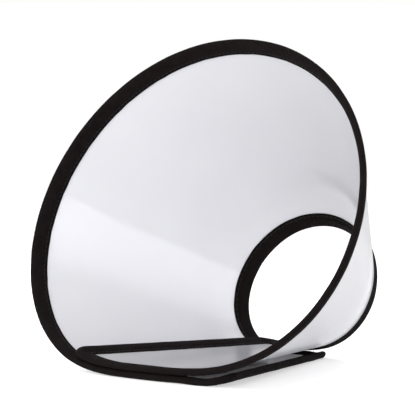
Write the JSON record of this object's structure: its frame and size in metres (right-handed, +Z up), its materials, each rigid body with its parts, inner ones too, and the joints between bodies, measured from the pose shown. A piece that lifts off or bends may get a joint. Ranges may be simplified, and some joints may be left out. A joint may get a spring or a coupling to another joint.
{
  "type": "pet recovery cone",
  "caption": "Wrap-around translucent plastic pet recovery cone with bound edges, lapped and closed underneath; unrolls to a flat ring sector.",
  "frame": {"origin": "centre of the bounding box on the ground the cone lies on", "axes": "+Z up, +X along the ground towards the wide mouth, +Y across the mouth"},
  "size_m": [0.2124, 0.2436, 0.2122],
  "materials": {
    "plastic": "satin translucent",
    "binding": "soft brushed knit tape",
    "nylon_strip": "hook and loop"
  },
  "bodies": {
    "panel_00": {"end_tape_inner": "binding", "loop_strip": "nylon_strip", "sheet_00": "plastic"},
    "panel_01": {"neck_tape_01": "binding", "rim_tape_01": "binding", "sheet_01": "plastic"},
    "panel_02": {"neck_tape_02": "binding", "rim_tape_02": "binding", "sheet_02": "plastic"},
    "panel_03": {"neck_tape_03": "binding", "rim_tape_03": "binding", "sheet_03": "plastic"},
    "panel_04": {"neck_tape_04": "binding", "rim_tape_04": "binding", "sheet_04": "plastic"},
    "panel_05": {"neck_tape_05": "binding", "rim_tape_05": "binding", "sheet_05": "plastic"},
    "panel_06": {"neck_tape_06": "binding", "rim_tape_06": "binding", "sheet_06": "plastic"},
    "panel_07": {"neck_tape_07": "binding", "rim_tape_07": "binding", "sheet_07": "plastic"},
    "panel_08": {"neck_tape_08": "binding", "rim_tape_08": "binding", "sheet_08": "plastic"},
    "panel_09": {"neck_tape_09": "binding", "rim_tape_09": "binding", "sheet_09": "plastic"},
    "panel_10": {"neck_tape_10": "binding", "rim_tape_10": "binding", "sheet_10": "plastic"},
    "panel_11": {"neck_tape_11": "binding", "rim_tape_11": "binding", "sheet_11": "plastic"},
    "panel_12": {"neck_tape_12": "binding", "rim_tape_12": "binding", "sheet_12": "plastic"},
    "panel_13": {"neck_tape_13": "binding", "rim_tape_13": "binding", "sheet_13": "plastic"},
    "panel_14": {"neck_tape_14": "binding", "rim_tape_14": "binding", "sheet_14": "plastic"},
    "panel_15": {"end_tape_outer": "binding", "hook_strip": "nylon_strip", "sheet_15": "plastic"}
  },
  "joints": [
    {"name": "unroll", "type": "hinge", "parent": "panel_15", "child": "panel_14", "pos_m": [-0.19389, -0.0019, 0.00153], "axis": [0.9859, -0.1672, 0.0086], "range_deg": [0, 22.1]},
    {"name": "fold_14", "type": "hinge", "parent": "panel_14", "child": "panel_13", "pos_m": [-0.19433, -0.0037, 0.00228], "axis": [0.9602, -0.2744, 0.0522], "range_deg": [0, 22.15]},
    {"name": "fold_13", "type": "hinge", "parent": "panel_13", "child": "panel_12", "pos_m": [-0.19489, -0.00501, 0.00368], "axis": [0.9301, -0.3451, 0.126], "range_deg": [0, 22.15]},
    {"name": "fold_12", "type": "hinge", "parent": "panel_12", "child": "panel_11", "pos_m": [-0.19543, -0.00549, 0.0055], "axis": [0.8939, -0.3827, 0.2332], "range_deg": [0, 22.15]},
    {"name": "fold_11", "type": "hinge", "parent": "panel_11", "child": "panel_10", "pos_m": [-0.19582, -0.00496, 0.00727], "axis": [0.8473, -0.3679, 0.3832], "range_deg": [0, 22.15]},
    {"name": "fold_10", "type": "hinge", "parent": "panel_10", "child": "panel_09", "pos_m": [-0.1959, -0.0036, 0.00839], "axis": [0.7919, -0.2703, 0.5476], "range_deg": [0, 22.15]},
    {"name": "fold_09", "type": "hinge", "parent": "panel_09", "child": "panel_08", "pos_m": [-0.19575, -0.00211, 0.0087], "axis": [0.7514, -0.1229, 0.6483], "range_deg": [0, 22.15]},
    {"name": "fold_08", "type": "hinge", "parent": "panel_08", "child": "panel_07", "pos_m": [-0.19543, -0.00093, 0.00843], "axis": [0.7344, 0.035, 0.6778], "range_deg": [0, 21.73]},
    {"name": "fold_07", "type": "hinge", "parent": "panel_07", "child": "panel_06", "pos_m": [-0.19499, -0.00024, 0.00783], "axis": [0.7408, 0.1836, 0.6461], "range_deg": [0, 20.69]},
    {"name": "fold_06", "type": "hinge", "parent": "panel_06", "child": "panel_05", "pos_m": [-0.19452, -0.00005, 0.00719], "axis": [0.7688, 0.3068, 0.5611], "range_deg": [0, 18.44]},
    {"name": "fold_05", "type": "hinge", "parent": "panel_05", "child": "panel_04", "pos_m": [-0.19412, -0.00027, 0.00672], "axis": [0.8151, 0.386, 0.432], "range_deg": [0, 14.79]},
    {"name": "fold_04", "type": "hinge", "parent": "panel_04", "child": "panel_03", "pos_m": [-0.19387, -0.00064, 0.00656], "axis": [0.871, 0.4033, 0.2804], "range_deg": [0, 11.52]},
    {"name": "fold_03", "type": "hinge", "parent": "panel_03", "child": "panel_02", "pos_m": [-0.19378, -0.00087, 0.0066], "axis": [0.9221, 0.358, 0.1467], "range_deg": [0, 11.7]},
    {"name": "fold_02", "type": "hinge", "parent": "panel_02", "child": "panel_01", "pos_m": [-0.19377, -0.00091, 0.00663], "axis": [0.9604, 0.2726, 0.0568], "range_deg": [0, 14.79]},
    {"name": "fold_01", "type": "hinge", "parent": "panel_01", "child": "panel_00", "pos_m": [-0.19377, -0.00091, 0.00663], "axis": [0.9877, 0.156, 0.0089], "range_deg": [0, 18.7]}
  ],
  "couplings": [
    {"joint": "fold_14", "follows": "unroll", "ratio": 1},
    {"joint": "fold_13", "follows": "unroll", "ratio": 1},
    {"joint": "fold_12", "follows": "unroll", "ratio": 1},
    {"joint": "fold_11", "follows": "unroll", "ratio": 1},
    {"joint": "fold_10", "follows": "unroll", "ratio": 1},
    {"joint": "fold_09", "follows": "unroll", "ratio": 1},
    {"joint": "fold_08", "follows": "unroll", "ratio": 0.981},
    {"joint": "fold_07", "follows": "unroll", "ratio": 0.934},
    {"joint": "fold_06", "follows": "unroll", "ratio": 0.832},
    {"joint": "fold_05", "follows": "unroll", "ratio": 0.667},
    {"joint": "fold_04", "follows": "unroll", "ratio": 0.519},
    {"joint": "fold_03", "follows": "unroll", "ratio": 0.527},
    {"joint": "fold_02", "follows": "unroll", "ratio": 0.667},
    {"joint": "fold_01", "follows": "unroll", "ratio": 0.844}
  ]
}
